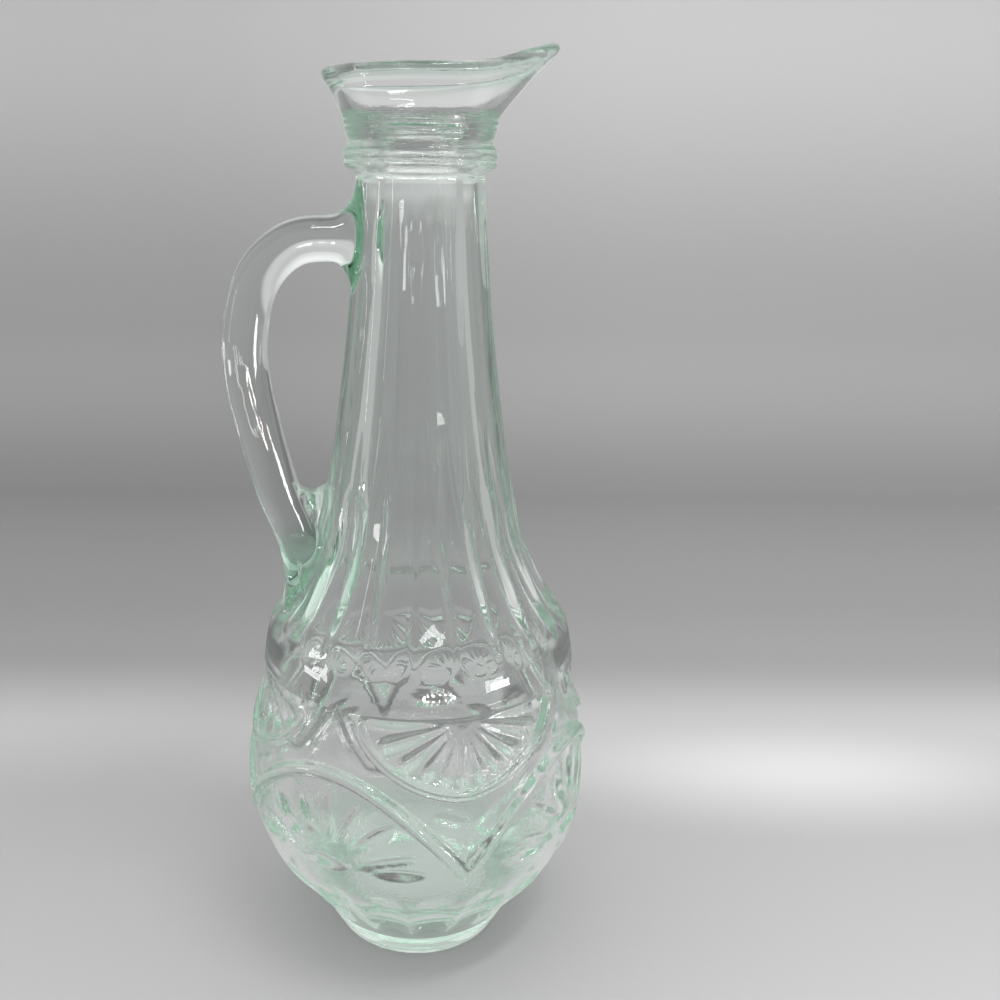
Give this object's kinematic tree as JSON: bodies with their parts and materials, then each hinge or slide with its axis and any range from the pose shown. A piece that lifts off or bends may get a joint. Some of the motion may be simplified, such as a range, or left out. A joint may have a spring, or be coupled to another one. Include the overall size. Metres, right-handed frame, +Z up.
{
  "type": "glass cruet",
  "caption": "Tall footed clear glass cruet with a round cut-pattern bulb, fluted shoulder, slender neck, beaded collar, flared pouring lip and loop handle.",
  "frame": {"origin": "on the axis of turning, in the plane that the foot rests on; the middle of the box's bottom lies within 1 mm of it", "axes": "+Z up along the axis of turning, +X towards the spout, -X towards the handle"},
  "size_m": [0.0983, 0.096, 0.242],
  "materials": {
    "clear_glass": "clear moulded glass with a pale green cast, fire polished"
  },
  "bodies": {
    "root": {"foot": "clear_glass", "bulb": "clear_glass", "fluted_shoulder": "clear_glass", "neck": "clear_glass", "ribbed_collar": "clear_glass", "pouring_lip": "clear_glass", "handle": "clear_glass"}
  },
  "joints": []
}
